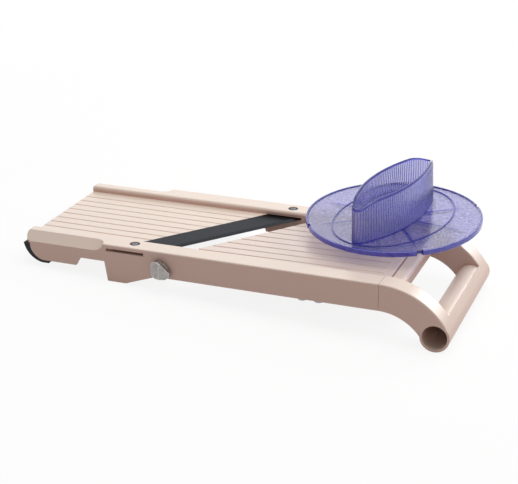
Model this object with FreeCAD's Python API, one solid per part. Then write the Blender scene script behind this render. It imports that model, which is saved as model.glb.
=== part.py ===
import FreeCAD, Part
import math
import os

V = FreeCAD.Vector

# Mandoline slicer, sizes in millimetres and angles in degrees.
# It is drawn in the deck frame: x runs from the foot end to the handle, y across the deck
# and z up, with z = 0 at the rail tops. The last step stands it on its lugs and handle tube.

# Body
body_width = 160.0
body_length = 340.0
rail_width = 21.4
rail_height = 24.5
wall = 3.0
top_wall = 3.5
edge_round = 1.5
inner_round = 3.0
deck_drop = 5.2
deck_thickness = 3.2

# Deck grooves
groove_count = 8
groove_pitch = 12.2
groove_width = 2.0
groove_depth = 0.9

# Foot end and its rubber pad
corner_round = 8.0
apron_thickness = 3.0
pad_top = 9.2
pad_depth = 5.2
pad_curve_x = 18.0
pad_curve_bulge = 0.16
pad_length = 27.0
pad_proud = 2.4
pad_swell = 0.6

# Long chamfers beside the landing deck
chamfer_width = 10.8
chamfer_depth = 7.3
chamfer_length = 70.0
chamfer_runout = 11.0
chamfer_stations = (-1, 0, 0.4, 0.7, 0.9, 1)

# Bowl notch and standing lugs
notch_start = 52.9
notch_slant = 4.4
notch_length = 24.6
notch_depth = 8.0
lug_draft = 3.1
lug_drop = 10.7
lug_length = 18.0
lug_slope = 30.0
chute_relief = 6.5
chute_relief_slant = 8.0
chute_relief_end = 191.0

# Blade and its screws
blade_angle = 53.06
blade_back_x = 144.4
blade_run = 34.6
blade_thickness = 1.2
blade_bevel = 4.5
blade_edge_land = 0.25
blade_end_gap = 7.0
blade_slot_rise = 1.7
blade_fit = 0.15
blade_ledge = 12.0
blade_ledge_thickness = 3.6
blade_block_depth = 13.0
blade_screw_back = 15.2
blade_screw_inset = 11.3
blade_screw_radius = 2.5
blade_head_radius = 4.3
blade_head_height = 2.6
blade_head_gap = 0.5
blade_slot_width = 0.9
blade_slot_depth = 0.8
blade_slot_share = 0.6
blade_nut_flats = 8.0
blade_nut_height = 4.0

# Feed plate
plate_gap = 11.4
plate_thickness = 4.0
plate_side_gap = 0.6
plate_overhang = 2.7
plate_end_round = 3.0
plate_opening = 2.0
plate_rib_width = 2.5
plate_rib_depth = 3.0
plate_rib_spread = (18.3, 42.7)
plate_rib_setback = 12.0
plate_pad_radius = 7.0
plate_pad_depth = 2.0
ear_width = 7.0
ear_radius = 5.0
hinge_back = 6.0
hinge_drop = 11.0
hinge_radius = 2.5
hinge_seat = 2.4
hinge_tail = 3.0

# Thickness adjuster
bridge_setback = 63.0
bridge_length = 24.0
bridge_thickness = 3.0
bridge_rib = 2.5
bridge_rib_height = 3.0
bridge_screw_pitch = 15.0
bridge_screw_inset = 8.5
bridge_screw_radius = 2.4
bridge_screw_length = 15.0
bridge_head_radius = 4.5
bridge_head_height = 3.6
cup_wall = 3.8
cup_height = 14.0
cup_floor = 3.0
lifter_side = 12.0
lifter_height = 9.0
lifter_crown = 2.5
lifter_side_gap = 0.1
lifter_travel_down = 2.4
spindle_radius = 4.0
spindle_grip = 4.6
collar_radius = 5.6
collar_height = 1.8
collar_gap = 1.0
washer_radius = 8.0
washer_thickness = 0.8
dial_radius = 21.0
dial_height = 11.0
dial_flutes = 18
dial_flute_radius = 2.4
dial_shaft_radius = 3.0
dial_shaft_length = 7.0
dial_screw_radius = 1.6
dial_screw_length = 6.0
dial_head_radius = 3.6
dial_head_height = 2.6

# Comb clamp
clamp_setback = 4.5
clamp_drop = 14.8
clamp_block = 25.0
clamp_window = 16.0
clamp_window_height = 13.0
insert_radius = 4.5
insert_length = 8.0
stem_radius = 3.0
shoe_radius = 5.5
shoe_thickness = 4.0
shoe_socket = 2.5
shoe_setback = 4.0
knob_gap = 1.4
knob_hub_radius = 6.0
knob_hub_height = 1.2
knob_width = 18.0
knob_height = 17.0
knob_thickness = 5.6
knob_roof = 3.0
knob_ridge = -0.5
knob_bore_depth = 4.6
knob_corners = ((-1.0, -0.6), (-0.6, -1.0), (0.55, -1.0), (0.9, -0.75), (1.0, -0.3),
                (0.1, 0.75), (-0.15, 0.95), (-0.75, 0.85), (-1.0, 0.5))

# Handle frame
arm_outer_radius = 71.0
tube_reach = 50.0
tube_radius = 13.1
tube_bore_radius = 11.0
lip_length = 4.0
beam_gap = 1.3
beam_length = 12.0
beam_depth = 11.0
beam_round = 5.0
seam_gap = 0.25
spigot_length = 40.0
spigot_fit = 0.2
spigot_foot = 3.5
handle_screw_first = 20.0
handle_screw_pitch = 14.0
handle_screw_drop = 16.0
handle_screw_radius = 2.0
handle_screw_length = 12.0
handle_head_radius = 3.8
handle_head_height = 2.4

# Hand guard
guard_setback = 23.4
guard_y = 49.8
guard_yaw = 77.0
guard_radius = 81.6
guard_thickness = 3.0
guard_rim_depth = 4.0
guard_rim_width = 2.5
guard_lip = 0.8
guard_rim_round = 0.7
guard_notch_radius = 3.0
guard_notch_angles = (45.0, 135.0, 225.0, 315.0)
oval_half_length = 73.2
oval_half_width = 51.5
oval_rib_width = 1.8
guard_rib_depth = 2.5
oval_bead = 0.7
fin_width = 1.6
fin_start = 20.0
fin_angles = (45.0, 90.0, 135.0, 225.0, 270.0, 315.0)
fin_taper = 16.0
fin_side_reach = 75.5
fin_diagonal_reach = 66.5
prong_pitch = 27.0
prong_side_count = 2
prong_rest_pitches = 3
prong_rows = 14.0
prong_reach = 14.4
prong_root_radius = 2.2
prong_tip_radius = 1.2
grip_half_length = 71.0
grip_half_width = 24.2
grip_tip_radius = 6.5
grip_end_draft = 1.0
grip_side_draft = 3.6
grip_height = 37.6
grip_shoulder = 0.2
grip_shoulder_x = 52.0
grip_tip_drop = 6.6
grip_ease = 0.9
grip_wall = 2.4

# Clearances
run_fit = 0.05
seat_fit = 0.02
rest_gap = 0.35
guard_lift = 0.45
tab_fit = 0.2
screw_fit = 0.2
spare = 4.0
near = 0.01

half_width = body_width / 2
deck_half = half_width - rail_width
deck_bottom = -deck_drop - deck_thickness
blade_slope = 1 / math.tan(math.radians(blade_angle))
blade_top = -deck_drop
blade_bottom = blade_top - blade_thickness
plate_half = deck_half - plate_side_gap
plate_end = body_length + plate_overhang
plate_lead_x = blade_back_x + blade_run + plate_gap
plate_bottom = -deck_drop - plate_thickness
hinge_x = body_length - hinge_back
plate_rest = math.atan(plate_opening / (hinge_x - plate_lead_x))
notch_top_start = notch_start + notch_slant
notch_top_end = notch_top_start + notch_length
lug_start = notch_top_end + lug_draft
lug_end = lug_start + lug_length
bridge_x = body_length - bridge_setback
bridge_low = bridge_x - bridge_length / 2
bridge_high = bridge_x + bridge_length / 2
bridge_top = bridge_thickness - rail_height
pad_drop = plate_bottom - plate_pad_depth + hinge_drop
pad_z = pad_drop * math.cos(plate_rest) - (hinge_x - bridge_x) * math.sin(plate_rest) - hinge_drop
lifter_top = pad_z - rest_gap
lifter_bottom = lifter_top - lifter_height
collar_top = lifter_bottom - lifter_travel_down - collar_gap
cup_floor_top = collar_top - collar_height - run_fit
cup_bottom = cup_floor_top - cup_floor
cup_half = lifter_side / 2 + cup_wall
washer_top = cup_bottom - run_fit
dial_top = washer_top - washer_thickness
shaft_end = dial_top - dial_shaft_length
clamp_inner = half_width - insert_length
clamp_x = blade_back_x - clamp_setback
clamp_z = -clamp_drop
shoe_back = clamp_inner - shoe_setback
knob_back = half_width + knob_gap
arm_inner_radius = arm_outer_radius - rail_height
tube_x = body_length + tube_reach
tube_rise = math.sqrt((arm_outer_radius - tube_radius) ** 2 - tube_reach ** 2)
tube_z = tube_rise - arm_outer_radius
guard_x = body_length - guard_setback
guard_tilt = math.asin(deck_drop / (prong_rest_pitches * prong_pitch))
guard_z = (guard_lift - deck_drop + prong_side_count * prong_pitch * math.sin(guard_tilt)
           + prong_reach * math.cos(guard_tilt))


def box(x0, x1, y0, y1, z0, z1):
    low = V(min(x0, x1), min(y0, y1), min(z0, z1))
    return Part.makeBox(abs(x1 - x0), abs(y1 - y0), abs(z1 - z0), low)


def outline(start, steps, place):
    # Each step is (end,) for a line or (middle, end) for an arc.
    edges = []
    here = place(*start)
    for step in steps:
        end = place(*step[-1])
        if len(step) == 2:
            edges.append(Part.Arc(here, place(*step[0]), end).toShape())
        else:
            edges.append(Part.LineSegment(here, end).toShape())
        here = end
    return Part.Wire(edges)


def lines(points):
    return [(p,) for p in points]


def side_prism(start, steps, y0, y1):
    wire = outline(start, steps, lambda x, z: V(x, y0, z))
    return Part.Face(wire).extrude(V(0, y1 - y0, 0))


def plan_prism(points, z0, z1):
    wire = outline(points[0], lines(points[1:] + points[:1]), lambda x, y: V(x, y, z0))
    return Part.Face(wire).extrude(V(0, 0, z1 - z0))


def rod(base, axis, radius, length):
    return Part.makeCylinder(radius, length, base, axis)


def post(x, y, radius, z0, z1):
    return rod(V(x, y, z0), V(0, 0, 1), radius, z1 - z0)


def fuse_all(shapes):
    return shapes[0].fuse(shapes[1:]).removeSplitter()


def round_edges(shape, radius, test):
    return shape.makeFillet(radius, [e for e in shape.Edges if test(e.BoundBox)])


def bevel_edges(shape, size, test):
    return shape.makeChamfer(size, [e for e in shape.Edges if test(e.BoundBox)])


def hex_prism(flats, height):
    corner = flats / math.sqrt(3)
    turns = [math.radians(60 * k) for k in range(6)]
    return plan_prism([(corner * math.cos(a), corner * math.sin(a)) for a in turns], 0, height)


def pan_screw(head_radius, head_height, shank_radius, shank_length):
    # The head lies below z = 0 and the shank rises above it.
    head = post(0, 0, head_radius, -head_height, 0)
    head = round_edges(head, head_height / 3, lambda b: b.ZMax < near - head_height)
    arm = head_radius / 2
    slot = head_radius / 8
    floor = -head_height / 2
    cross = [box(-arm, arm, -slot, slot, -head_height, floor),
             box(-slot, slot, -arm, arm, -head_height, floor)]
    return fuse_all([head, post(0, 0, shank_radius, 0, shank_length)]).cut(cross)


def placed(shape, x, y, z):
    shape = shape.copy()
    shape.translate(V(x, y, z))
    return shape


def blade_x(y):
    return blade_back_x + blade_slope * y


def band(x_from, x_to, y0, y1):
    # A strip along the blade, between two distances from its back edge.
    return [(blade_x(y0) + x_from, y0), (blade_x(y0) + x_to, y0),
            (blade_x(y1) + x_to, y1), (blade_x(y1) + x_from, y1)]


def blade_screw_spots():
    y = half_width - blade_screw_inset
    return [(blade_x(s * y) + blade_screw_back, s * y) for s in (-1, 1)]


def bridge_screw_spots():
    y = half_width - bridge_screw_inset
    half = bridge_screw_pitch / 2
    return [(bridge_x + dx, s * y) for s in (-1, 1) for dx in (-half, half)]


def handle_screw_spots():
    xs = [body_length - handle_screw_first - k * handle_screw_pitch for k in (0, 1)]
    return [(x, s) for s in (-1, 1) for x in xs]


def groove_tools(x0, x1, top):
    first = -groove_pitch * (groove_count - 1) / 2
    half = groove_width / 2
    tools = []
    for k in range(groove_count):
        y = first + k * groove_pitch
        spots = [V(x0, y - half, top), V(x0, y, top - groove_depth), V(x0, y + half, top),
                 V(x0, y, top + spare)]
        tools.append(Part.Face(Part.makePolygon(spots + spots[:1])).extrude(V(x1 - x0, 0, 0)))
    return tools


def bulged(start, end):
    # The middle of an arc that swells down and towards the foot end.
    dx, dz = end[0] - start[0], end[1] - start[1]
    return ((start[0] + end[0]) / 2 + dz * pad_curve_bulge, (start[1] + end[1]) / 2 - dx * pad_curve_bulge)


def foot_curve(offset):
    # The pad's seat at the foot end, or a line that far inside it.
    start = (pad_depth + offset, -pad_top)
    end = (pad_curve_x + offset, offset - rail_height)
    return start, bulged(start, end), end


def rail_blank(side):
    start, middle, end = foot_curve(0)
    lug_z = -rail_height - lug_drop
    notch_z = notch_depth - rail_height
    under = [(body_length, 0), (body_length, -rail_height), (lug_end + lug_slope, -rail_height),
             (lug_end, lug_z), (lug_start, lug_z), (notch_top_end, notch_z), (notch_top_start, notch_z),
             (notch_start, -rail_height), end]
    steps = lines(under) + [(middle, start)] + lines([(0, -pad_top), (0, 0)])
    rail = side_prism((0, 0), steps, side * deck_half, side * half_width)
    outer = side * half_width
    rail = round_edges(rail, corner_round, lambda b: b.XMax < near and b.YLength < near
                       and abs(b.YMin - outer) < near)
    inner = side * deck_half
    rail = round_edges(rail, inner_round, lambda b: b.ZMin > -near and b.YLength < near
                       and abs(b.YMin - inner) < near)
    return round_edges(rail, edge_round, lambda b: b.ZMin > -near and b.XMin < body_length - near
                       and (b.YLength > near or abs(b.YMin - outer) < near))


def chamfer_tool(side):
    sections = []
    outer = side * half_width
    far = outer + side * spare
    for t in chamfer_stations:
        x = chamfer_length + t * (chamfer_runout if t > 0 else chamfer_length + spare)
        share = max(math.sqrt(1 - max(t, 0) ** 2), near)
        y_in = side * (half_width - chamfer_width * share)
        low = -chamfer_depth * share
        spots = [V(x, y_in, 0), V(x, y_in, spare), V(x, far, spare), V(x, far, low), V(x, outer, low)]
        sections.append(Part.makePolygon(spots + spots[:1]))
    return Part.makeLoft(sections, True, True)


def rail_pockets(side):
    # The hollows on the underside of a rail, each as (start, end, depth left above it).
    thick = chamfer_depth + wall
    spans = [(pad_length + wall, notch_top_end - wall, thick)]
    if side < 0:
        spans += [(lug_start + wall, clamp_x - clamp_block / 2, blade_block_depth),
                  (clamp_x + clamp_block / 2, bridge_low - wall, top_wall)]
    else:
        block_low = blade_x(deck_half) - wall
        block_high = blade_x(half_width) + blade_run + wall
        spans += [(lug_start + wall, block_low, top_wall),
                  (block_low + wall, block_high - wall, blade_block_depth),
                  (block_high, bridge_low - wall, top_wall)]
    spans.append((bridge_high + wall, body_length + spare, top_wall))
    y0, y1 = side * (deck_half + wall), side * (half_width - wall)
    lowest = -rail_height - lug_drop - spare
    return [box(x0, x1, y0, y1, lowest, -top) for x0, x1, top in spans]


def landing_deck():
    edge = deck_half + wall / 2
    plan = [(0, -edge), (blade_x(-edge) - blade_fit, -edge), (blade_x(edge) - blade_fit, edge), (0, edge)]
    deck = plan_prism(plan, deck_bottom, -deck_drop)
    deck = round_edges(deck, edge_round, lambda b: b.XMax < near and b.ZMin > -deck_drop - near)
    deck = deck.cut(groove_tools(-spare, hinge_x, -deck_drop))
    ledge_top = blade_bottom - seat_fit
    ledge = plan_prism(band(-wall, blade_ledge, -edge, edge), ledge_top - blade_ledge_thickness, ledge_top)
    return [deck, ledge]


def foot_apron():
    edge = deck_half + wall / 2
    top = deck_bottom + deck_thickness / 2
    start, middle, end = foot_curve(0)
    start_in, middle_in, end_in = foot_curve(apron_thickness)
    steps = lines([(0, -pad_top), start]) + [(middle, end)]
    steps += lines([(pad_length, -rail_height), (pad_length, apron_thickness - rail_height), end_in])
    steps += [(middle_in, start_in)] + lines([(start_in[0], top), (0, top)])
    return side_prism((0, top), steps, -edge, edge)


def blade_slots():
    low, high = blade_bottom - seat_fit, blade_top + rest_gap
    seat = plan_prism(band(-blade_fit, blade_run + blade_fit, -half_width - spare, half_width - wall),
                      low, high)
    x0 = blade_x(-half_width) - blade_fit
    x1 = blade_x(wall - half_width) + blade_run + blade_fit
    mouth = box(x0, x1, -half_width - spare, wall - half_width, low, blade_top + blade_slot_rise)
    return [seat, mouth]


def screw_bores():
    bores = []
    for x, y in blade_screw_spots():
        bores.append(post(x, y, blade_head_radius + blade_head_gap, -blade_head_height, spare))
        bores.append(post(x, y, blade_screw_radius + screw_fit, -blade_block_depth - spare, spare))
    for x, y in bridge_screw_spots():
        bores.append(post(x, y, bridge_screw_radius + seat_fit, bridge_top,
                          bridge_screw_length - rail_height))
    for x, s in handle_screw_spots():
        bores.append(rod(V(x, s * (deck_half - spare), -handle_screw_drop), V(0, s, 0),
                         handle_screw_radius + screw_fit, wall + 2 * spare))
    return bores


def main_body():
    rails = [rail_blank(s).cut([chamfer_tool(s)] + rail_pockets(s)) for s in (-1, 1)]
    body = fuse_all(rails + landing_deck() + [foot_apron()])
    cuts = blade_slots() + screw_bores()
    relief_top = chute_relief - rail_height
    relief_start = clamp_x + clamp_block / 2
    low = -rail_height - spare
    relief = lines([(chute_relief_end, low), (chute_relief_end, -rail_height),
                    (chute_relief_end - chute_relief_slant, relief_top), (relief_start, relief_top),
                    (relief_start, low)])
    for s in (-1, 1):
        cuts.append(side_prism((relief_start, low), relief, s * (deck_half - wall), s * (deck_half + wall)))
        cuts.append(box(bridge_low - tab_fit, bridge_high + tab_fit, s * (deck_half - spare),
                        s * (half_width - wall), low, bridge_top + tab_fit))
        cuts.append(rod(V(hinge_x, s * (deck_half - spare), -hinge_drop), V(0, s, 0),
                        hinge_radius + seat_fit, spare + hinge_seat))
    cuts.append(rod(V(clamp_x, -half_width - spare, clamp_z), V(0, 1, 0), insert_radius + seat_fit,
                    insert_length + spare))
    cuts.append(box(clamp_x - clamp_window / 2, clamp_x + clamp_window / 2, -clamp_inner, spare - deck_half,
                    clamp_z - clamp_window_height / 2, clamp_z + clamp_window_height / 2))
    return body.cut(cuts)


def foot_pad():
    start, middle, end = foot_curve(0)
    low = -rail_height - pad_proud
    outer = (pad_curve_x, low)
    crest = (-pad_swell, -pad_top)
    steps = [(bulged(crest, outer), outer)]
    steps += lines([(pad_length - pad_proud, low), (pad_length, -rail_height), end])
    steps += [(middle, start), (crest,)]
    return side_prism(crest, steps, -half_width, half_width)


def cutting_blade():
    bevel = blade_bevel / math.sin(math.radians(blade_angle))
    profile = [(0, blade_bottom), (blade_run, blade_bottom), (blade_run, blade_bottom + blade_edge_land),
               (blade_run - bevel, blade_top), (0, blade_top)]
    ends = []
    for y in (blade_end_gap - half_width, half_width - blade_end_gap):
        spots = [V(blade_x(y) + x, y, z) for x, z in profile]
        ends.append(Part.makePolygon(spots + spots[:1]))
    blade = Part.makeLoft(ends, True, True)
    return blade.cut([post(x, y, blade_screw_radius + screw_fit, blade_bottom - spare, spare)
                      for x, y in blade_screw_spots()])


def blade_screws():
    reach = blade_block_depth + blade_nut_height
    screws = []
    for x, y in blade_screw_spots():
        head = post(x, y, blade_head_radius, -blade_head_height, 0)
        head = bevel_edges(head, blade_head_height / 4, lambda b: b.ZMin > -near)
        half, arm = blade_slot_width / 2, blade_head_radius * blade_slot_share
        cross = [box(x - arm, x + arm, y - half, y + half, -blade_slot_depth, spare),
                 box(x - half, x + half, y - arm, y + arm, -blade_slot_depth, spare)]
        shank = post(x, y, blade_screw_radius, -reach, -blade_head_height)
        screws.append(fuse_all([head, shank]).cut(cross))
    return Part.makeCompound(screws)


def blade_nuts():
    nut = hex_prism(blade_nut_flats, blade_nut_height)
    nut = nut.cut(post(0, 0, blade_screw_radius + seat_fit, -spare, blade_nut_height + spare))
    base = -blade_block_depth - blade_nut_height
    return Part.makeCompound([placed(nut, x, y, base) for x, y in blade_screw_spots()])


def feed_plate():
    def lead(y):
        return blade_x(y) + blade_run + plate_gap

    plan = [(lead(-plate_half), -plate_half), (plate_end, -plate_half), (plate_end, plate_half),
            (lead(plate_half), plate_half)]
    plate = plan_prism(plan, plate_bottom, -deck_drop)
    plate = round_edges(plate, plate_end_round, lambda b: b.XMin > plate_end - near
                        and b.ZMin > -deck_drop - near)
    plate = plate.cut(groove_tools(0, hinge_x, -deck_drop))
    pieces = [plate, post(bridge_x, 0, plate_pad_radius, plate_bottom - plate_pad_depth, plate_bottom)]
    for s in (-1, 1):
        for y in plate_rib_spread:
            pieces.append(box(lead(s * y) + plate_rib_setback, hinge_x - 2 * ear_radius,
                              s * y - plate_rib_width / 2, s * y + plate_rib_width / 2,
                              plate_bottom - plate_rib_depth, plate_bottom))
        inner, outer = s * (plate_half - ear_width), s * plate_half
        pieces.append(box(hinge_x - ear_radius, hinge_x + ear_radius, inner, outer,
                          -hinge_drop, plate_bottom))
        pieces.append(rod(V(hinge_x, inner, -hinge_drop), V(0, s, 0), ear_radius, ear_width))
    plate = fuse_all(pieces)
    plate = plate.cut(rod(V(hinge_x, -half_width, -hinge_drop), V(0, 1, 0), hinge_radius + run_fit,
                          body_width))
    plate.rotate(V(hinge_x, 0, -hinge_drop), V(0, 1, 0), -math.degrees(plate_rest))
    return plate


def plate_hinge_pins():
    start = plate_half - ear_width - hinge_tail
    return Part.makeCompound([rod(V(hinge_x, s * start, -hinge_drop), V(0, s, 0), hinge_radius,
                                  deck_half + hinge_seat - start) for s in (-1, 1)])


def adjuster_bridge():
    tab = half_width - wall - tab_fit
    edge = deck_half - 2 * tab_fit
    pieces = [box(bridge_low, bridge_high, -tab, tab, -rail_height, bridge_top),
              box(bridge_x - cup_half, bridge_x + cup_half, -cup_half, cup_half, cup_bottom,
                  cup_bottom + cup_height)]
    for x0, x1 in ((bridge_low, bridge_low + bridge_rib), (bridge_high - bridge_rib, bridge_high)):
        pieces.append(box(x0, x1, -edge, edge, bridge_top, bridge_top + bridge_rib_height))
    bridge = fuse_all(pieces)
    well = lifter_side / 2 + lifter_side_gap
    cuts = [box(bridge_x - well, bridge_x + well, -well, well, cup_floor_top, spare),
            post(bridge_x, 0, spindle_radius + run_fit, cup_bottom - spare, cup_floor_top)]
    cuts += [post(x, y, bridge_screw_radius + screw_fit, -rail_height - spare, bridge_top + spare)
             for x, y in bridge_screw_spots()]
    return bridge.cut(cuts)


def bridge_screws():
    screw = pan_screw(bridge_head_radius, bridge_head_height, bridge_screw_radius, bridge_screw_length)
    return Part.makeCompound([placed(screw, x, y, -rail_height) for x, y in bridge_screw_spots()])


def plate_lifter():
    half = lifter_side / 2
    lifter = box(bridge_x - half, bridge_x + half, -half, half, lifter_bottom, lifter_top)
    lifter = bevel_edges(lifter, lifter_crown, lambda b: b.ZMin > lifter_top - near)
    bore_top = lifter_bottom + spindle_grip + lifter_travel_down + rest_gap
    return lifter.cut(post(bridge_x, 0, spindle_radius + run_fit, lifter_bottom, bore_top))


def dial_spindle():
    spindle = fuse_all([post(bridge_x, 0, dial_shaft_radius, shaft_end, dial_top),
                        post(bridge_x, 0, spindle_radius, dial_top, lifter_bottom + spindle_grip),
                        post(bridge_x, 0, collar_radius, collar_top - collar_height, collar_top)])
    return spindle.cut(post(bridge_x, 0, dial_screw_radius + seat_fit, shaft_end,
                            shaft_end + dial_screw_length + rest_gap))


def dial_washer():
    ring = post(bridge_x, 0, washer_radius, dial_top, washer_top)
    return ring.cut(post(bridge_x, 0, spindle_radius + seat_fit, dial_top, washer_top))


def thickness_dial():
    low = dial_top - dial_height
    dial = post(bridge_x, 0, dial_radius, low, dial_top)
    dial = bevel_edges(dial, edge_round, lambda b: b.ZMax < low + near or b.ZMin > dial_top - near)
    cuts = [post(bridge_x, 0, dial_shaft_radius + seat_fit, low, dial_top),
            post(bridge_x, 0, dial_head_radius + screw_fit, low, shaft_end)]
    for k in range(dial_flutes):
        turn = 2 * math.pi * k / dial_flutes
        reach = dial_radius + dial_flute_radius / 2
        cuts.append(post(bridge_x + reach * math.cos(turn), reach * math.sin(turn), dial_flute_radius,
                         low, dial_top))
    return dial.cut(cuts)


def dial_screw():
    screw = pan_screw(dial_head_radius, dial_head_height, dial_screw_radius, dial_screw_length)
    return placed(screw, bridge_x, 0, shaft_end)


def clamp_insert():
    start = V(clamp_x, -half_width, clamp_z)
    ring = rod(start, V(0, 1, 0), insert_radius, insert_length)
    return ring.cut(rod(start, V(0, 1, 0), stem_radius + run_fit, insert_length))


def clamp_stem():
    tip = shoe_socket - shoe_back - run_fit
    start = -knob_back - knob_bore_depth
    return rod(V(clamp_x, start, clamp_z), V(0, 1, 0), stem_radius, tip - start)


def clamp_shoe():
    base = V(clamp_x, -shoe_back, clamp_z)
    shoe = rod(base, V(0, 1, 0), shoe_radius, shoe_thickness)
    return shoe.cut(rod(base, V(0, 1, 0), stem_radius + run_fit, shoe_socket))


def clamp_knob():
    hub_end = -knob_back - knob_hub_height
    front = hub_end - knob_thickness
    hub = rod(V(clamp_x, -knob_back, clamp_z), V(0, -1, 0), knob_hub_radius, knob_hub_height)
    spots = [(clamp_x + a * knob_width / 2, clamp_z + b * knob_height / 2) for a, b in knob_corners]
    grip = side_prism(spots[0], lines(spots[1:] + spots[:1]), front, hub_end)
    side = clamp_x - knob_width, clamp_x + knob_width
    roof = [(side[0], hub_end), (side[0], front + 2 * knob_roof), (clamp_x + knob_ridge, front),
            (side[1], front + 2 * knob_roof), (side[1], hub_end)]
    grip = grip.common(plan_prism(roof, clamp_z - knob_height, clamp_z + knob_height))
    bore = rod(V(clamp_x, -knob_back, clamp_z), V(0, -1, 0), stem_radius + seat_fit, knob_bore_depth)
    return fuse_all([hub, grip]).cut(bore)


def arc_spot(radius, turn):
    # A point on the handle's bend, with the turn measured from straight up.
    return body_length + radius * math.sin(turn), radius * math.cos(turn) - arm_outer_radius


def handle_frame():
    meet = math.atan2(tube_reach, tube_rise)
    steps = [(arc_spot(arm_outer_radius, meet / 2), arc_spot(arm_outer_radius, meet)),
             (arc_spot(arm_inner_radius, meet),),
             (arc_spot(arm_inner_radius, meet / 2), arc_spot(arm_inner_radius, 0)),
             (arc_spot(arm_outer_radius, 0),)]
    pieces = [rod(V(tube_x, -half_width, tube_z), V(0, 1, 0), tube_radius, body_width)]
    x0, x1 = body_length - spigot_length, body_length + spare
    seam = box(body_length - spare, body_length + seam_gap, -half_width, half_width,
               -rail_height - spare, spare)
    for s in (-1, 1):
        arm = side_prism(arc_spot(arm_outer_radius, 0), steps, s * deck_half, s * half_width)
        outside = [e for e in arm.Edges if e.Curve.TypeId == "Part::GeomCircle"
                   and abs(e.Curve.Radius - arm_outer_radius) < near]
        pieces.append(arm.makeFillet(edge_round, outside).cut(seam))
        pieces.append(box(x0, x1, s * (deck_half + wall + spigot_fit), s * (half_width - wall - spigot_fit),
                          spigot_foot - rail_height, -top_wall - spigot_fit))
    lip = meet - lip_length / arm_outer_radius / math.cos(meet)
    lip_steps = [(arc_spot(arm_outer_radius, (lip + meet) / 2), arc_spot(arm_outer_radius, meet)),
                 ((tube_x, tube_z),), (arc_spot(arm_outer_radius, lip),)]
    inner = deck_half + wall
    pieces.append(side_prism(arc_spot(arm_outer_radius, lip), lip_steps, -inner, inner))
    beam_start = plate_end + beam_gap
    beam = box(beam_start, beam_start + beam_length, -inner, inner, -deck_drop - beam_depth, -deck_drop)
    pieces.append(round_edges(beam, beam_round, lambda b: b.XMin > beam_start + beam_length - near
                              and b.ZMin > -deck_drop - near))
    frame = fuse_all(pieces)
    cuts = [rod(V(tube_x, -half_width - spare, tube_z), V(0, 1, 0), tube_bore_radius, body_width + 2 * spare)]
    for x, s in handle_screw_spots():
        cuts.append(rod(V(x, s * (deck_half + wall), -handle_screw_drop), V(0, s, 0),
                        handle_screw_radius + seat_fit, handle_screw_length))
    return frame.cut(cuts)


def handle_screws():
    screws = []
    for x, s in handle_screw_spots():
        screw = pan_screw(handle_head_radius, handle_head_height, handle_screw_radius, handle_screw_length)
        screw.rotate(V(0, 0, 0), V(1, 0, 0), -90 * s)
        screws.append(placed(screw, x, s * deck_half, -handle_screw_drop))
    return Part.makeCompound(screws)


def oval(long_half, short_half, z):
    curve = Part.Ellipse(V(0, 0, z), long_half, short_half)
    return Part.Face(Part.Wire([curve.toShape()]))


def guard_plate():
    # Drawn flat with its top face at z = 0 and the grip's length along x.
    under = -guard_thickness
    disc = post(0, 0, guard_radius - guard_rim_width / 2, under, 0)
    rim = post(0, 0, guard_radius, -guard_rim_depth, guard_lip)
    rim = rim.cut(post(0, 0, guard_radius - guard_rim_width, -guard_rim_depth, guard_lip))
    rim = round_edges(rim, guard_rim_round, lambda b: b.ZLength < near)
    rib_low = under - guard_rib_depth
    rib = V(0, 0, oval_bead - rib_low)
    ring = oval(oval_half_length, oval_half_width, rib_low).extrude(rib)
    ring = ring.cut(oval(oval_half_length - oval_rib_width, oval_half_width - oval_rib_width,
                         rib_low).extrude(rib))
    ring = round_edges(ring, oval_bead / 2, lambda b: b.ZMin > oval_bead - near)
    pieces = [disc, rim, ring]
    for angle in fin_angles:
        reach = fin_side_reach if angle % 180 == 90 else fin_diagonal_reach
        spots = [(fin_start, under), (reach, under), (reach - fin_taper, rib_low), (fin_start, rib_low)]
        fin = side_prism(spots[0], lines(spots[1:] + spots[:1]), -fin_width / 2, fin_width / 2)
        fin.rotate(V(0, 0, 0), V(0, 0, 1), angle)
        pieces.append(fin)
    for k in range(-prong_side_count, prong_side_count + 1):
        for y in (-prong_rows, prong_rows):
            pieces.append(Part.makeCone(prong_tip_radius, prong_root_radius, prong_reach + under,
                                        V(k * prong_pitch, y, -prong_reach)))
    plate = fuse_all(pieces)
    notches = []
    for angle in guard_notch_angles:
        a = math.radians(angle)
        notches.append(post(guard_radius * math.cos(a), guard_radius * math.sin(a), guard_notch_radius,
                            -guard_rim_depth, guard_lip))
    return plate.cut(notches)


def grip_ring(end, side, tip, z):
    # A boat shape of two long arcs that run smoothly into a small arc at each end.
    centre = end - tip
    long_centre = (centre ** 2 - (side - tip) ** 2) / (2 * (side - tip))
    reach = math.hypot(centre, long_centre)
    x, y = centre + tip * centre / reach, tip * long_centre / reach
    steps = [((0, -side), (x, -y)), ((end, 0), (x, y)), ((0, side), (-x, y)), ((-end, 0), (-x, -y))]
    return outline((-x, -y), steps, lambda u, v: V(u, v, z))


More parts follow.
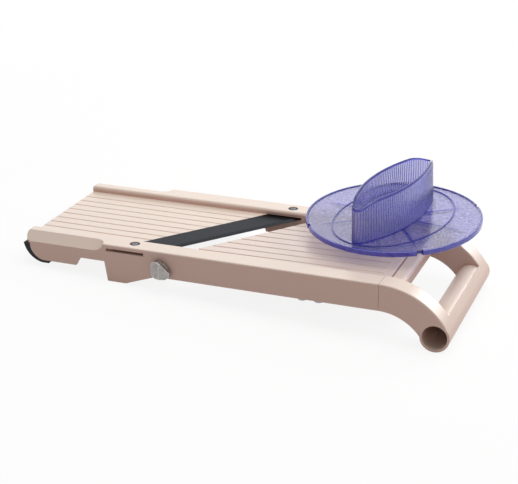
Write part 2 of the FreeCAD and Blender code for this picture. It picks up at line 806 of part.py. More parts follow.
def guard_grip():
    end, side = grip_half_length, grip_half_width

    def shell(inset):
        tip = grip_tip_radius - inset
        foot = grip_ring(end - inset, side - inset, tip, 0)
        rim = grip_ring(end - inset - grip_end_draft, side - inset - grip_side_draft, tip, grip_height)
        return Part.makeLoft([foot, rim], True, True)

    grip = shell(0).cut(shell(grip_wall))
    shoulder_z = grip_height - grip_shoulder
    tip_z = grip_height - grip_tip_drop
    ease_x = (grip_shoulder_x + end) / 2
    ease_z = (shoulder_z + tip_z) / 2 + grip_ease
    top = grip_height + spare
    steps = [((-ease_x, ease_z), (-grip_shoulder_x, shoulder_z)),
             ((0, grip_height), (grip_shoulder_x, shoulder_z)), ((ease_x, ease_z), (end, tip_z))]
    steps += lines([(end, top), (-end, top), (-end, tip_z)])
    return grip.cut(side_prism((-end, tip_z), steps, -2 * side, 2 * side))


def on_deck(shape):
    # Lays the guard across the deck, tilted to rest on its prongs.
    shape.rotate(V(0, 0, 0), V(0, 1, 0), -math.degrees(guard_tilt))
    shape.rotate(V(0, 0, 0), V(0, 0, 1), guard_yaw)
    return placed(shape, guard_x, guard_y, guard_z)


def stance():
    # The angle at which the lugs' front corners and the handle tube both touch the table.
    dx = tube_x - lug_start
    dz = tube_z + rail_height + lug_drop
    reach = math.hypot(dx, dz)
    return math.asin(tube_radius / reach) - math.atan2(dz, dx)


def main():
    os.makedirs("parts", exist_ok=True)
    nodes = {
        "main_body": main_body(),
        "foot_pad": foot_pad(),
        "cutting_blade": cutting_blade(),
        "blade_screws": blade_screws(),
        "blade_nuts": blade_nuts(),
        "feed_plate": feed_plate(),
        "plate_hinge_pins": plate_hinge_pins(),
        "adjuster_bridge": adjuster_bridge(),
        "bridge_screws": bridge_screws(),
        "plate_lifter": plate_lifter(),
        "dial_spindle": dial_spindle(),
        "dial_washer": dial_washer(),
        "thickness_dial": thickness_dial(),
        "dial_screw": dial_screw(),
        "clamp_insert": clamp_insert(),
        "clamp_stem": clamp_stem(),
        "clamp_shoe": clamp_shoe(),
        "clamp_knob": clamp_knob(),
        "handle_frame": handle_frame(),
        "handle_screws": handle_screws(),
        "guard_plate": on_deck(guard_plate()),
        "guard_grip": on_deck(guard_grip()),
    }
    for shape in nodes.values():
        shape.rotate(V(0, 0, 0), V(0, 1, 0), -math.degrees(stance()))
    room = Part.makeCompound(list(nodes.values())).optimalBoundingBox()
    for name, shape in nodes.items():
        shape.translate(V(-room.Center.x, -room.Center.y, -room.ZMin))
        shape.exportStep("parts/" + name + ".step")


main()
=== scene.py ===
import bpy
import bmesh
import math
from mathutils import Matrix, Vector


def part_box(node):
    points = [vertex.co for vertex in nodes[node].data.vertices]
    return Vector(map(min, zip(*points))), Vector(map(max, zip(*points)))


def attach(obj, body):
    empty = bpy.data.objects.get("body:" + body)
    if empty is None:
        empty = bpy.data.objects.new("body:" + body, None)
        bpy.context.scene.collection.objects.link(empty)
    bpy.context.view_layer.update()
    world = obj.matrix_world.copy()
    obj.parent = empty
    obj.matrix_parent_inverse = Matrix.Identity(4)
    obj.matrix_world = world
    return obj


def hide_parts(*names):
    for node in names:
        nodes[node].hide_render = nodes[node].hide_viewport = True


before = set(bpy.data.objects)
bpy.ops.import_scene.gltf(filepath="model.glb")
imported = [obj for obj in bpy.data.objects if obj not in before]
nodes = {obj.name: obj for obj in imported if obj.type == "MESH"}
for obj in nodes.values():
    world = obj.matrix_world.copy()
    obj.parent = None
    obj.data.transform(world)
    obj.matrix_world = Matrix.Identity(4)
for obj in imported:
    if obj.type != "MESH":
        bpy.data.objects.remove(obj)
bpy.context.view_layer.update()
print("frame loaded:", len(nodes), "nodes")

mm = 0.001

# How the slicer stands: its deck frame is tipped up at the handle end, then set on the table.
stand = {"tip": math.radians(3.70147), "shift": (-202.4902, -21.624, 29.6391)}
deckToTable = Matrix.Translation(Vector(stand["shift"]) * mm) @ Matrix.Rotation(-stand["tip"], 4, "Y")


def deckTop(x):
    # height of the rails' level tops over a place along the slicer
    return stand["shift"][2] * mm + (x - stand["shift"][0] * mm) * math.tan(stand["tip"])


def hexColour(text):
    # sRGB hex to the linear colour that shader sockets take
    parts = [int(text[i:i + 2], 16) / 255 for i in (0, 2, 4)]
    return tuple(c / 12.92 if c <= 0.04045 else ((c + 0.055) / 1.055) ** 2.4 for c in parts) + (1.0,)


def addNode(tree, kind, inputs=None, **settings):
    # an input is given a socket to link from or a plain value
    node = tree.nodes.new(kind)
    for name, value in settings.items():
        setattr(node, name, value)
    for name, value in (inputs or {}).items():
        if isinstance(value, bpy.types.NodeSocket):
            tree.links.new(value, node.inputs[name])
        else:
            node.inputs[name].default_value = value
    return node


def newMaterial(name):
    mat = bpy.data.materials.new(name)
    mat.use_nodes = True
    mat.node_tree.nodes.clear()
    return mat, mat.node_tree


def dress(mat, *names):
    for name in names:
        obj = nodes[name]
        obj.data.materials.clear()
        obj.data.materials.append(mat)
        for poly in obj.data.polygons:
            poly.material_index = 0


def perMetre(size):
    # noise scale for a feature of that many millimetres
    return 1.0 / (size * mm)


# Moulded ABS: a warm pinkish beige with a satin skin and faint flow clouds. Faces that look up are painted
# paler and less saturated than the sides as painted light, and corners get a little painted shade. The
# mould's spark-eroded grain is really some hundredths of a millimetre, and is drawn coarser so that it
# shows.
absLook = {"cloud": 45.0, "grain": 0.9, "grainBump": 0.12, "grainDepth": 0.1, "rough": 0.36,
           "roughVary": 0.05, "litTopFrom": 0.2, "litTopFull": 0.95, "litTopVary": 0.25, "creviceShade": 2.5,
           "creviceRays": 8, "ior": 1.53}
# each tone: painted light on upward faces, the sides' own colour, and painted shade in corners
absTones = {
    "absBodyMoulded": {"paintedLitTop": "dac8ba", "side": "d6b4a7", "creviceShade": "d0ab9a"},
    "absPlateMoulded": {"paintedLitTop": "d5c3b8", "side": "c79f90", "creviceShade": "a87a68"},
    "absDialMoulded": {"paintedLitTop": "6b625d", "side": "5a514c", "creviceShade": "3a322e"},
}


def mouldedAbs(name):
    tones = absTones[name]
    mat, tree = newMaterial(name)
    coords = addNode(tree, "ShaderNodeTexCoord").outputs
    cloud = addNode(tree, "ShaderNodeTexNoise", {"Vector": coords["Object"], "Detail": 3.0,
                                                 "Scale": perMetre(absLook["cloud"])}).outputs["Fac"]
    grain = addNode(tree, "ShaderNodeTexNoise", {"Vector": coords["Object"], "Detail": 2.0,
                                                 "Scale": perMetre(absLook["grain"])}).outputs["Fac"]
    facing = addNode(tree, "ShaderNodeSeparateXYZ", {"Vector": coords["Normal"]}).outputs["Z"]
    # painted light: upward faces are mixed towards a paler colour, in patches that follow the clouds
    upward = addNode(tree, "ShaderNodeMapRange", {"Value": facing, "From Min": absLook["litTopFrom"],
                                                  "From Max": absLook["litTopFull"]}).outputs[0]
    patchy = addNode(tree, "ShaderNodeMapRange", {"Value": cloud, "To Min": 1 - absLook["litTopVary"],
                                                  "To Max": 1 + absLook["litTopVary"]}).outputs[0]
    litTopShare = addNode(tree, "ShaderNodeMath", {0: upward, 1: patchy}, operation="MULTIPLY").outputs[0]
    tone = addNode(tree, "ShaderNodeMix", {"Factor": litTopShare, "A": hexColour(tones["side"]),
                                           "B": hexColour(tones["paintedLitTop"])}, data_type="RGBA").outputs[2]
    # painted shade: the colour darkens towards the crevice shade where ambient occlusion finds surfaces
    # close by
    paintedNookShade = addNode(tree, "ShaderNodeAmbientOcclusion", {"Distance": absLook["creviceShade"] * mm},
                   samples=absLook["creviceRays"]).outputs["AO"]
    colour = addNode(tree, "ShaderNodeMix", {"Factor": paintedNookShade, "A": hexColour(tones["creviceShade"]),
                                             "B": tone}, data_type="RGBA").outputs[2]
    rough = addNode(tree, "ShaderNodeMapRange", {
        "Value": cloud, "To Min": absLook["rough"] - absLook["roughVary"],
        "To Max": absLook["rough"] + absLook["roughVary"]}).outputs[0]
    bump = addNode(tree, "ShaderNodeBump", {"Height": grain, "Strength": absLook["grainBump"],
                                            "Distance": absLook["grainDepth"] * mm}).outputs[0]
    skin = addNode(tree, "ShaderNodeBsdfPrincipled", {"Base Color": colour, "Roughness": rough,
                                                      "Normal": bump, "IOR": absLook["ior"]}).outputs[0]
    addNode(tree, "ShaderNodeOutputMaterial", {"Surface": skin})
    return mat


dress(mouldedAbs("absBodyMoulded"), "main_body", "handle_frame")
dress(mouldedAbs("absPlateMoulded"), "feed_plate", "adjuster_bridge")
dress(mouldedAbs("absDialMoulded"), "thickness_dial", "plate_lifter")

# Moulded nitrile rubber: nearly black with a blue cast, matt, a little dusty.
rubberLook = {"dark": "0b0c0e", "dusty": "16181b", "dust": 6.0, "bump": 0.15, "bumpDepth": 0.2,
              "rough": 0.82, "ior": 1.52}


def mouldedRubber(name):
    mat, tree = newMaterial(name)
    place = addNode(tree, "ShaderNodeTexCoord").outputs["Object"]
    dust = addNode(tree, "ShaderNodeTexNoise", {"Vector": place, "Detail": 5.0,
                                                "Scale": perMetre(rubberLook["dust"])}).outputs["Fac"]
    tone = addNode(tree, "ShaderNodeMix", {"Factor": dust, "A": hexColour(rubberLook["dark"]),
                                           "B": hexColour(rubberLook["dusty"])},
                   data_type="RGBA").outputs[2]
    bump = addNode(tree, "ShaderNodeBump", {"Height": dust, "Strength": rubberLook["bump"],
                                            "Distance": rubberLook["bumpDepth"] * mm}).outputs[0]
    skin = addNode(tree, "ShaderNodeBsdfPrincipled", {"Base Color": tone, "Roughness": rubberLook["rough"],
                                                      "Normal": bump, "IOR": rubberLook["ior"]}).outputs[0]
    addNode(tree, "ShaderNodeOutputMaterial", {"Surface": skin})
    return mat


dress(mouldedRubber("nitrileRubberMoulded"), "foot_pad")

# Metals: ground blade steel, blacked and bright screws, tumbled zinc and turned brass. Their real grain is
# too fine to show, so it is drawn just coarse enough to break up the highlight.
metalLooks = {
    "bladeSteelGround": {"colour": "3a3c40", "other": "26282b", "graze": "c2c2c2",
                         "rough": 0.24, "across": 0.6, "along": 40.0, "bump": 0.1},
    "screwSteelBlacked": {"colour": "54575c", "other": "3e4145", "graze": "c8c8c8", "headHighlight": "a6a8ac",
                          "rough": 0.3, "across": 1.2, "along": 1.2, "bump": 0.2},
    "fastenerSteelBright": {"colour": "a7a5a2", "other": "8e8c89",
                            "rough": 0.34, "across": 1.0, "along": 1.0, "bump": 0.1},
    "knobZincTumbled": {"colour": "b9b6b4", "other": "6e6a68", "edgeHighlight": "f2f0ee",
                        "rough": 0.36, "across": 2.4, "along": 2.4, "bump": 0.9},
    "insertBrassTurned": {"colour": "c9a45c", "other": "b08c49",
                          "rough": 0.3, "across": 1.0, "along": 1.0, "bump": 0.1},
}
metalGrain = {"turn": -53.0, "depth": 0.5, "roughVary": 0.06, "graze": "ffffff"}
screwHighlight = {"headRadius": 4.3, "bright": 1.9, "dull": 2.6}
knobEdgeHighlight = {"round": 0.7, "rays": 8, "atEdge": 0.93, "onFace": 0.995, "most": 0.9}


def paintedScrewHighlight(tree, place):
    # painted highlight: the middles of the two blade screw heads are painted brighter; the screws lie at
    # opposite corners of their box
    head = screwHighlight["headRadius"] * mm
    low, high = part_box("blade_screws")
    away = []
    for x, y in ((low[0] + head, low[1] + head), (high[0] - head, high[1] - head)):
        away.append(addNode(tree, "ShaderNodeVectorMath", {0: place, 1: (x, y, deckTop(x))},
                            operation="DISTANCE").outputs["Value"])
    nearest = addNode(tree, "ShaderNodeMath", {0: away[0], 1: away[1]}, operation="MINIMUM").outputs[0]
    return addNode(tree, "ShaderNodeMapRange", {"Value": nearest, "From Min": screwHighlight["bright"] * mm,
                                                "From Max": screwHighlight["dull"] * mm, "To Min": 1.0,
                                                "To Max": 0.0}).outputs[0]


def paintedEdgeHighlight(tree):
    # painted highlight: the knob's edges are painted brighter; they are where a rounded normal leaves the
    # face's own
    eased = addNode(tree, "ShaderNodeBevel", {"Radius": knobEdgeHighlight["round"] * mm},
                    samples=knobEdgeHighlight["rays"]).outputs[0]
    face = addNode(tree, "ShaderNodeNewGeometry").outputs["True Normal"]
    agree = addNode(tree, "ShaderNodeVectorMath", {0: eased, 1: face},
                    operation="DOT_PRODUCT").outputs["Value"]
    return addNode(tree, "ShaderNodeMapRange", {"Value": agree, "From Min": knobEdgeHighlight["atEdge"],
                                                "From Max": knobEdgeHighlight["onFace"], "To Min": knobEdgeHighlight["most"],
                                                "To Max": 0.0}).outputs[0]


def metal(name):
    look = metalLooks[name]
    mat, tree = newMaterial(name)
    place = addNode(tree, "ShaderNodeTexCoord").outputs["Object"]
    along, across = perMetre(look["along"]), perMetre(look["across"])
    # the blade's grinding lines run with the slicer's length; the turn keeps the noise's cells off the axes
    turned = addNode(tree, "ShaderNodeMapping", {
        "Vector": place, "Rotation": (0, 0, math.radians(metalGrain["turn"])),
        "Scale": (along, across, across)}).outputs[0]
    lines = addNode(tree, "ShaderNodeTexNoise", {"Vector": turned, "Scale": 1.0,
                                                 "Detail": 4.0}).outputs["Fac"]
    tone = addNode(tree, "ShaderNodeMix", {"Factor": lines, "A": hexColour(look["other"]),
                                           "B": hexColour(look["colour"])}, data_type="RGBA").outputs[2]
    # painted highlights: the blade screws' middles and the knob's edges are mixed towards a brighter colour
    brightened = []
    if "headHighlight" in look:
        brightened.append((paintedScrewHighlight(tree, place), look["headHighlight"]))
    if "edgeHighlight" in look:
        brightened.append((paintedEdgeHighlight(tree), look["edgeHighlight"]))
    for share, bright in brightened:
        tone = addNode(tree, "ShaderNodeMix", {"Factor": share, "A": tone, "B": hexColour(bright)},
                       data_type="RGBA").outputs[2]
    rough = addNode(tree, "ShaderNodeMapRange", {
        "Value": lines, "To Min": look["rough"] - metalGrain["roughVary"],
        "To Max": look["rough"] + metalGrain["roughVary"]}).outputs[0]
    bump = addNode(tree, "ShaderNodeBump", {"Height": lines, "Strength": look["bump"],
                                            "Distance": metalGrain["depth"] * mm}).outputs[0]
    graze = hexColour(look.get("graze", metalGrain["graze"]))
    skin = addNode(tree, "ShaderNodeBsdfPrincipled", {"Base Color": tone, "Metallic": 1.0, "Normal": bump,
                                                      "Roughness": rough, "Specular Tint": graze}).outputs[0]
    addNode(tree, "ShaderNodeOutputMaterial", {"Surface": skin})
    return mat


dress(metal("bladeSteelGround"), "cutting_blade")
dress(metal("screwSteelBlacked"), "blade_screws")
dress(metal("fastenerSteelBright"), "blade_nuts", "bridge_screws", "handle_screws", "plate_hinge_pins",
      "dial_spindle", "dial_washer", "dial_screw", "clamp_stem", "clamp_shoe")
dress(metal("knobZincTumbled"), "clamp_knob")
dress(metal("insertBrassTurned"), "clamp_insert")
print("plastics, rubber and metals done")

# The guard's place in the deck frame. It rests tipped: its end prongs stand on the sunk feed plate, and
# those three pitches further on stand on the far rail.
guardSeat = {"at": (316.6, 49.8), "yaw": 77.0, "rest": 0.45, "drop": 5.2, "pitch": 27.0, "reach": 14.4,
             "endPitches": 2, "restPitches": 3}


def guardPlace():
    tilt = math.asin(guardSeat["drop"] / (guardSeat["restPitches"] * guardSeat["pitch"]))
    endReach = guardSeat["endPitches"] * guardSeat["pitch"]
    z = (guardSeat["rest"] - guardSeat["drop"] + endReach * math.sin(tilt)
         + guardSeat["reach"] * math.cos(tilt))
    seat = Matrix.Translation(Vector((*guardSeat["at"], z)) * mm)
    yaw = Matrix.Rotation(math.radians(guardSeat["yaw"]), 4, "Z")
    return deckToTable @ seat @ yaw @ Matrix.Rotation(-tilt, 4, "Y")


# Clear tinted polystyrene, moulded: glossy, lavender where thin and deep violet-blue where seen edge on. The
# plate is etched with a fine mottle, and darker lines are painted over the ribs moulded under it, as painted
# shade.
clearLooks = {
    "styrenePlateMottled": {"pale": "bab6de", "cloudy": "7c78b0", "deep": "1a1ab8", "deepFrom": "ribs",
                            "rough": 0.03, "clear": 0.8, "mottle": 2.0, "bump": 0.25, "coat": 0.15},
    "styreneRimPaintedGlow": {"pale": "5c5cec", "cloudy": "4646de",
                           "rough": 0.03, "clear": 0.35, "mottle": 6.0, "bump": 0.05, "coat": 0.6},
    "styreneGripReeded": {"pale": "fafaff", "cloudy": "f2f2ff", "deep": "3434d0", "deepFrom": "depth",
                          "rough": 0.04, "clear": 0.84, "mottle": 8.0, "bump": 0.05, "coat": 0.0},
}
clearStock = {"ior": 1.55, "coatRough": 0.05, "mottleDepth": 0.6, "cloudFrom": 0.4, "cloudTo": 0.6,
              "tint": "4444f0", "density": 105.0, "through": "fbfaee"}
plateRibs = {"angles": (45, 90, 135), "inner": 22.0, "outer": 68.0, "fade": 8.0, "oval": (72.3, 50.6),
             "rim": 80.6, "wall": 80.9, "finWidth": 1.1, "beadWidth": 0.7, "rimWidth": 1.0, "edge": 0.6,
             "strength": 0.95}


def ribPaintedShade(tree, place):
    # share of painted shade on the plate, by how near a point is to a fin, the oval bead or the rim: 0 away
    # from them all
    seat = guardPlace()
    local = addNode(tree, "ShaderNodeMapping", {"Vector": place, "Location": seat.to_translation(),
                                                "Rotation": seat.to_euler()},
                    vector_type="TEXTURE").outputs[0]
    toFin = 1.0  # further off than any fin
    for angle in plateRibs["angles"]:
        across = (math.sin(math.radians(angle)), -math.cos(math.radians(angle)), 0)
        aside = addNode(tree, "ShaderNodeVectorMath", {0: local, 1: across},
                        operation="DOT_PRODUCT").outputs["Value"]
        aside = addNode(tree, "ShaderNodeMath", {0: aside}, operation="ABSOLUTE").outputs[0]
        toFin = addNode(tree, "ShaderNodeMath", {0: aside, 1: toFin}, operation="MINIMUM").outputs[0]

    # radius from the disc's middle, as a length and as a share of the oval bead's own
    radii = []
    a, b = (half * mm for half in plateRibs["oval"])
    for stretch in ((1, 1, 0), (1 / a, 1 / b, 0)):
        flat = addNode(tree, "ShaderNodeVectorMath", {0: local, 1: stretch},
                       operation="MULTIPLY").outputs["Vector"]
        radii.append(addNode(tree, "ShaderNodeVectorMath", {0: flat}, operation="LENGTH").outputs["Value"])
    radius, share = radii
    begun = addNode(tree, "ShaderNodeMath", {0: radius, 1: plateRibs["inner"] * mm},
                    operation="GREATER_THAN").outputs[0]
    ended = addNode(tree, "ShaderNodeMapRange", {
        "Value": radius, "From Min": (plateRibs["outer"] - plateRibs["fade"]) * mm,
        "From Max": plateRibs["outer"] * mm, "To Min": 1.0, "To Max": 0.0}).outputs[0]
    finSpan = addNode(tree, "ShaderNodeMath", {0: begun, 1: ended}, operation="MULTIPLY").outputs[0]
    pastBead = addNode(tree, "ShaderNodeMath", {0: share, 1: 1.0}, operation="SUBTRACT").outputs[0]
    pastBead = addNode(tree, "ShaderNodeMath", {0: pastBead, 1: b}, operation="MULTIPLY").outputs[0]
    pastRim = addNode(tree, "ShaderNodeMath", {0: radius, 1: plateRibs["rim"] * mm},
                      operation="SUBTRACT").outputs[0]

    forms = ((toFin, "finWidth", finSpan), (pastBead, "beadWidth", 1.0), (pastRim, "rimWidth", 1.0))
    strongest = 0.0
    for past, width, span in forms:
        distance = addNode(tree, "ShaderNodeMath", {0: past}, operation="ABSOLUTE").outputs[0]
        line = addNode(tree, "ShaderNodeMapRange", {
            "Value": distance, "From Min": plateRibs[width] * mm,
            "From Max": (plateRibs[width] + plateRibs["edge"]) * mm,
            "To Min": plateRibs["strength"], "To Max": 0.0}).outputs[0]
        line = addNode(tree, "ShaderNodeMath", {0: line, 1: span}, operation="MULTIPLY").outputs[0]
        strongest = addNode(tree, "ShaderNodeMath", {0: line, 1: strongest}, operation="MAXIMUM").outputs[0]
    return strongest


def clearStyrene(name):
    look = clearLooks[name]
    mat, tree = newMaterial(name)
    place = addNode(tree, "ShaderNodeTexCoord").outputs["Object"]
    mottle = addNode(tree, "ShaderNodeTexNoise", {"Vector": place, "Detail": 4.0,
                                                  "Scale": perMetre(look["mottle"])}).outputs["Fac"]
    bump = addNode(tree, "ShaderNodeBump", {"Height": mottle, "Strength": look["bump"],
                                            "Distance": clearStock["mottleDepth"] * mm}).outputs[0]
    cloud = addNode(tree, "ShaderNodeMapRange", {"Value": mottle, "From Min": clearStock["cloudFrom"],
                                                 "From Max": clearStock["cloudTo"]}).outputs[0]
    tone = addNode(tree, "ShaderNodeMix", {"Factor": cloud, "A": hexColour(look["cloudy"]),
                                           "B": hexColour(look["pale"])}, data_type="RGBA").outputs[2]
    # painted shade: deeper colour at the ribs, between the reeds and along the grip's rim and foot
    if "deep" in look:
        if look["deepFrom"] == "ribs":
            paintedShadeShare = ribPaintedShade(tree, place)
        else:
            paintedShadeShare = addNode(tree, "ShaderNodeAttribute", attribute_name=look["deepFrom"]).outputs["Fac"]
        tone = addNode(tree, "ShaderNodeMix", {"Factor": paintedShadeShare, "A": tone, "B": hexColour(look["deep"])},
                       data_type="RGBA").outputs[2]
    skin = addNode(tree, "ShaderNodeBsdfPrincipled", {
        "Base Color": tone, "Roughness": look["rough"], "IOR": clearStock["ior"], "Normal": bump,
        "Transmission Weight": look["clear"], "Coat Weight": look["coat"],
        "Coat Roughness": clearStock["coatRough"]}).outputs[0]
    # light passes through on its way to the deck, tinted by the plastic's depth
    through = addNode(tree, "ShaderNodeBsdfTransparent", {
        "Color": hexColour(clearStock["through"])}).outputs[0]
    path = addNode(tree, "ShaderNodeLightPath").outputs
    lit = addNode(tree, "ShaderNodeMath", {0: path["Is Shadow Ray"], 1: path["Is Diffuse Ray"]},
                  operation="MAXIMUM").outputs[0]
    both = addNode(tree, "ShaderNodeMixShader", {0: lit, 1: skin, 2: through}).outputs[0]
    depth = addNode(tree, "ShaderNodeVolumeAbsorption", {"Color": hexColour(clearStock["tint"]),
                                                         "Density": clearStock["density"]}).outputs[0]
    addNode(tree, "ShaderNodeOutputMaterial", {"Surface": both, "Volume": depth})
    return mat


def paintRimGlow(mat):
    # the disc's outer wall is polished; its own saturated blue is a painted glow that stands in for light
    # piped out through it
    plate = nodes["guard_plate"].data
    plate.materials.append(mat)
    toLocal = guardPlace().inverted()
    for poly in plate.polygons:
        spot = toLocal @ poly.center
        if math.hypot(spot.x, spot.y) > plateRibs["wall"] * mm:
            poly.material_index = 1


dress(clearStyrene("styrenePlateMottled"), "guard_plate")
paintRimGlow(clearStyrene("styreneRimPaintedGlow"))

# The finger grip: a boat-shaped wall, lower at its two tips. Fine upright reeds stand on its outer face, and
# the inner face carries only the painted shade of their valleys. Each ring of the wall has its share of the
# height, how far the reeds stand out there, and the least painted shade.
grip = {"end": 71.0, "side": 24.2, "tip": 6.5, "endDraft": 1.0, "sideDraft": 3.6, "wall": 2.4,
        "height": 37.6, "shoulder": 0.2, "shoulderAt": 52.0, "tipDrop": 6.6, "ease": 0.9, "rimRise": 0.5,
        "lift": 0.03, "arcSteps": 60, "reed": 2.95, "reedDepth": 0.45, "reedSamples": 8, "reedMiddle": 0.6,
        "valleyPower": 1.5, "innerPaintedShade": 0.3,
        "rings": ((0.0, 0.0, 1.0), (0.015, 0.0, 1.0), (0.03, 1.0, 0.4), (0.5, 1.0, 0.0),
                  (0.9, 1.0, 0.0), (0.94, 1.0, 0.0), (0.97, 0.0, 0.9), (0.99, 0.0, 1.0))}


def boatRing(inset, share):
    # one quarter goes round the tip and along the side, and the other three are its mirror images
    end = grip["end"] - inset - grip["endDraft"] * share
    side = grip["side"] - inset - grip["sideDraft"] * share
    tip = grip["tip"] - inset
    centre = end - tip
    drop = (centre ** 2 - (side - tip) ** 2) / (2 * (side - tip))
    join = math.atan2(drop, centre)
    steps = grip["arcSteps"]
    arcs = ((centre, 0.0, tip, 0.0, join), (0.0, -drop, side + drop, join, math.pi / 2))
    quarter = []
    for cx, cy, r, first, last in arcs:
        turns = [first + (last - first) * k / steps for k in range(steps)]
        quarter += [(cx + r * math.cos(t), cy + r * math.sin(t)) for t in turns]
    half = quarter + [(0.0, side)] + [(-x, y) for x, y in reversed(quarter)]
    return half + [(x, -y) for x, y in reversed(half[1:-1])]


def resample(ring, count):
    # evenly spaced points along a closed ring
    closed = ring + ring[:1]
    runs = [0.0]
    for p, q in zip(closed, closed[1:]):
        runs.append(runs[-1] + math.dist(p, q))
    spaced = []
    k = 0
    for i in range(count):
        want = runs[-1] * i / count
        while runs[k + 1] < want:
            k += 1
        f = (want - runs[k]) / (runs[k + 1] - runs[k])
        spaced.append(tuple(a + (b - a) * f for a, b in zip(closed[k], closed[k + 1])))
    return spaced


def topAt(x):
    # height of the rim along the grip: level in the middle, easing down to the tips
    away = (abs(x) - grip["shoulderAt"]) / (grip["end"] - grip["shoulderAt"])
    level = grip["height"] - grip["shoulder"] * min(1.0, abs(x) / grip["shoulderAt"]) ** 2
    if away <= 0:
        return level
    return level - (grip["tipDrop"] - grip["shoulder"]) * away + 4 * grip["ease"] * away * (1 - away)


def wallLoops(bm, inset, reeded, count):
    # rings of one face of the wall, from its foot to the rim; the reeds fade out near both
    paintedShadeLayer = bm.verts.layers.float["depth"]
    reedDepth = grip["reedDepth"] if reeded else 0.0
    valleyPaintedShade = 1.0 if reeded else grip["innerPaintedShade"]
    loops = []
    for share, standing, tint in grip["rings"]:
        ring = resample(boatRing(inset, share), count)
        loop = []
        for i, (x, y) in enumerate(ring):
            (px, py), (nx, ny) = ring[i - 1], ring[(i + 1) % count]
            tx, ty = nx - px, ny - py
            size = math.hypot(tx, ty)
            crest = abs(math.cos(math.pi * i / grip["reedSamples"]))
            reed = reedDepth * standing * (crest - grip["reedMiddle"])
            x, y = x + ty / size * reed, y - tx / size * reed
            vert = bm.verts.new((x * mm, y * mm, (topAt(x) * share + grip["lift"]) * mm))
            # painted shade: the reeds' valleys are painted deeper, and each ring keeps at least its own
            # share
            valley = (1 - crest) ** grip["valleyPower"]
            vert[paintedShadeLayer] = max(tint, standing * valley * valleyPaintedShade)
            loop.append(vert)
        loops.append(loop)
    return loops


def reededGrip(mat):
    ring = boatRing(0, 0)
    girth = sum(math.dist(p, q) for p, q in zip(ring, ring[1:] + ring[:1]))
    count = round(girth / grip["reed"]) * grip["reedSamples"]
    bm = bmesh.new()
    paintedShadeLayer = bm.verts.layers.float.new("depth")
    outer = wallLoops(bm, 0.0, True, count)
    inner = wallLoops(bm, grip["wall"], False, count)
    rim = []
    for i in range(count):
        mid = (outer[-1][i].co + inner[-1][i].co) / 2
        vert = bm.verts.new(mid + Vector((0, 0, grip["rimRise"] * mm)))
        # painted shade: the rim's top is painted deepest
        vert[paintedShadeLayer] = 1.0
        rim.append(vert)
    skin = outer + [rim] + inner[::-1] + [outer[0]]
    for a, b in zip(skin, skin[1:]):
        for i in range(count):
            j = (i + 1) % count
            bm.faces.new((a[i], a[j], b[j], b[i]))
    bmesh.ops.recalc_face_normals(bm, faces=bm.faces)
    mesh = bpy.data.meshes.new("reededGrip")
    bm.to_mesh(mesh)
    bm.free()
    mesh.transform(guardPlace())
    for poly in mesh.polygons:
        poly.use_smooth = True
    mesh.materials.append(mat)
    obj = bpy.data.objects.new("reededGrip", mesh)
    bpy.context.collection.objects.link(obj)
    return obj


fingerGrip = reededGrip(clearStyrene("styreneGripReeded"))
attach(fingerGrip, "guard")
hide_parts("guard_grip")
print("guard and grip done")

# Pale floor, in metres: white to the camera, with a faint shadow that fades out well away from the slicer.
floorLook = {"size": 6.0, "cells": 8, "shade": "f4f3f2", "bounce": "dcdad8", "shadow": 0.12, "near": 0.35,
             "far": 0.9}


def seenStraight(tree):
    # 1 for rays that show the background: from the camera, off metal and through the clear guard
    path = addNode(tree, "ShaderNodeLightPath").outputs
    seen = path["Is Camera Ray"]
    for ray in ("Is Glossy Ray", "Is Transmission Ray"):
        seen = addNode(tree, "ShaderNodeMath", {0: seen, 1: path[ray]}, operation="MAXIMUM").outputs[0]
    return seen


def paperSweep(name):
    mat, tree = newMaterial(name)
    seen = seenStraight(tree)
    shade = addNode(tree, "ShaderNodeMix", {"Factor": seen, "A": hexColour(floorLook["bounce"]),
                                            "B": hexColour(floorLook["shade"])},
                    data_type="RGBA").outputs[2]
    dull = addNode(tree, "ShaderNodeBsdfDiffuse", {"Color": shade}).outputs[0]
    glow = addNode(tree, "ShaderNodeEmission", {"Color": (1, 1, 1, 1), "Strength": 1.0}).outputs[0]
    place = addNode(tree, "ShaderNodeTexCoord").outputs["Object"]
    away = addNode(tree, "ShaderNodeVectorMath", {0: place}, operation="LENGTH").outputs["Value"]
    white = addNode(tree, "ShaderNodeMapRange", {"Value": away, "From Min": floorLook["near"],
                                                 "From Max": floorLook["far"],
                                                 "To Min": 1 - floorLook["shadow"]}).outputs[0]
    share = addNode(tree, "ShaderNodeMath", {0: seen, 1: white}, operation="MULTIPLY").outputs[0]
    both = addNode(tree, "ShaderNodeMixShader", {0: share, 1: dull, 2: glow}).outputs[0]
    addNode(tree, "ShaderNodeOutputMaterial", {"Surface": both})
    return mat


bpy.ops.mesh.primitive_grid_add(x_subdivisions=floorLook["cells"], y_subdivisions=floorLook["cells"],
                                size=floorLook["size"], location=(0, 0, 0))
floor = bpy.context.object
floor.name = "paleFloor"
floor.data.materials.append(paperSweep("paperSweepMatt"))

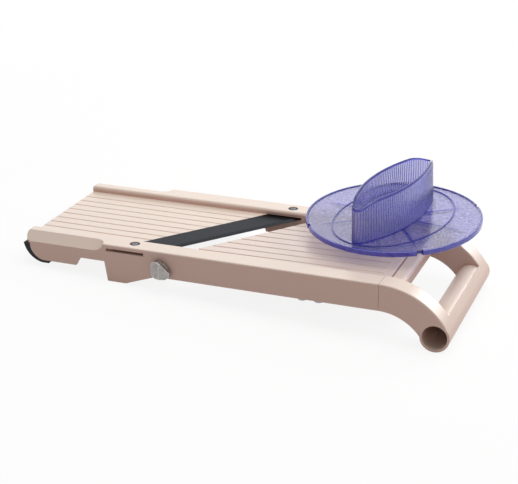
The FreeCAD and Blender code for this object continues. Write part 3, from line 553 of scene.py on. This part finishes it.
# Soft studio light, in metres and watts: a large overhead box, a weak wall of light behind, a strip for the
# handle and an even pale room.
lamps = {
    "overheadBox": {"at": (0.1, 0.1, 1.3), "aim": (0, 0, 0), "size": (1.1, 1.1), "power": 11.4},
    "backWall": {"at": (-0.55, 1.45, 0.62), "aim": (0, 0, 0.05), "size": (1.4, 1.4), "power": 5.0},
    "handleStrip": {"at": (0.75, 1.3, 0.68), "aim": (0.2, 0, 0.05), "size": (0.7, 0.5), "power": 12.0,
                    "lights": ("handle_frame", "main_body", "feed_plate", "clamp_knob")},
}
roomLook = {"fill": 0.31, "seen": 1.0}


def turnTowards(at, aim):
    # the turn that points a lamp or the camera from one place to another
    return (Vector(aim) - Vector(at)).to_track_quat("-Z", "Y")


for name, lamp in lamps.items():
    data = bpy.data.lights.new(name, "AREA")
    data.shape = "RECTANGLE"
    data.size, data.size_y = lamp["size"]
    data.energy = lamp["power"]
    light = bpy.data.objects.new(name, data)
    light.location = lamp["at"]
    light.rotation_euler = turnTowards(lamp["at"], lamp["aim"]).to_euler()
    light.visible_transmission = False  # the clear guard shows the pale room, not the lamps
    if "lights" in lamp:
        # flagged off the guard, which it would fill with sparkle
        lit = bpy.data.collections.new(name + "Lit")
        for node in lamp["lights"]:
            lit.objects.link(nodes[node])
        lit.objects.link(floor)
        light.light_linking.receiver_collection = lit
    bpy.context.collection.objects.link(light)

world = bpy.data.worlds.new("paleRoom")
bpy.context.scene.world = world
world.use_nodes = True
room = world.node_tree
room.nodes.clear()
level = addNode(room, "ShaderNodeMapRange", {"Value": seenStraight(room), "To Min": roomLook["fill"],
                                             "To Max": roomLook["seen"]}).outputs[0]
walls = addNode(room, "ShaderNodeBackground", {"Color": (1, 1, 1, 1), "Strength": level}).outputs[0]
addNode(room, "ShaderNodeOutputWorld", {"Surface": walls})
print("floor and light done")

# The photograph's viewpoint, in the deck frame.
eye = {"at": (625.34, -1119.26, 462.68), "aim": (211.4, -25.0, 0.0), "lens": 96.38, "sensor": 36.0,
       "clip": 10.0}
cam = bpy.data.cameras.new("photoEye")
cam.lens = eye["lens"]
cam.sensor_width = eye["sensor"]
cam.clip_start = eye["clip"] * mm
camera = bpy.data.objects.new("photoEye", cam)
gaze = turnTowards(eye["at"], eye["aim"]).to_matrix().to_4x4()
camera.matrix_world = deckToTable @ Matrix.Translation(Vector(eye["at"]) * mm) @ gaze
bpy.context.collection.objects.link(camera)
bpy.context.scene.camera = camera
bpy.context.scene.view_settings.view_transform = "Standard"
print("camera set")
